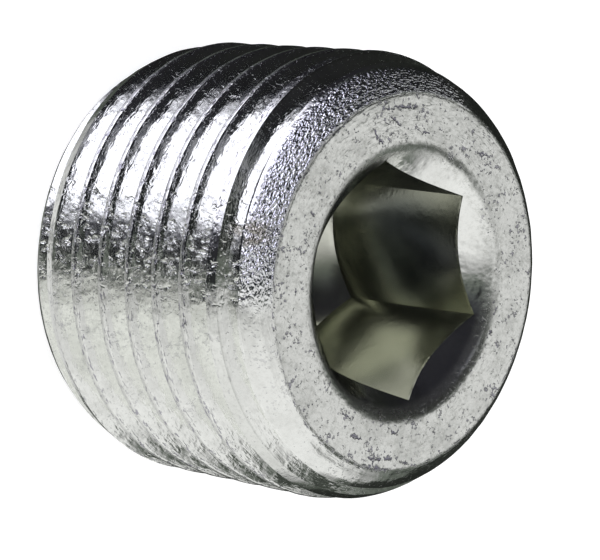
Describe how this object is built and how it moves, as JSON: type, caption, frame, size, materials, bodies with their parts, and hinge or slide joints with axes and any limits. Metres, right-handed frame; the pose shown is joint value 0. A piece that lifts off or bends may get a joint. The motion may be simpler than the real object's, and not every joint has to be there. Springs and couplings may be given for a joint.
{
  "type": "pipe plug",
  "caption": "Taper-threaded pipe plug with a rounded shoulder, a flat annular face and a countersunk hexagon socket.",
  "frame": {"origin": "centre of the small flat end, where the thread starts", "axes": "+Z along the plug's axis from the small end to the socket face, +X towards a corner of the hexagon"},
  "size_m": [0.0212, 0.0212, 0.015],
  "materials": {
    "zinc_plated_steel": "bright zinc plating, satin, speckled"
  },
  "bodies": {
    "root": {"plug_body": "zinc_plated_steel"}
  },
  "joints": []
}
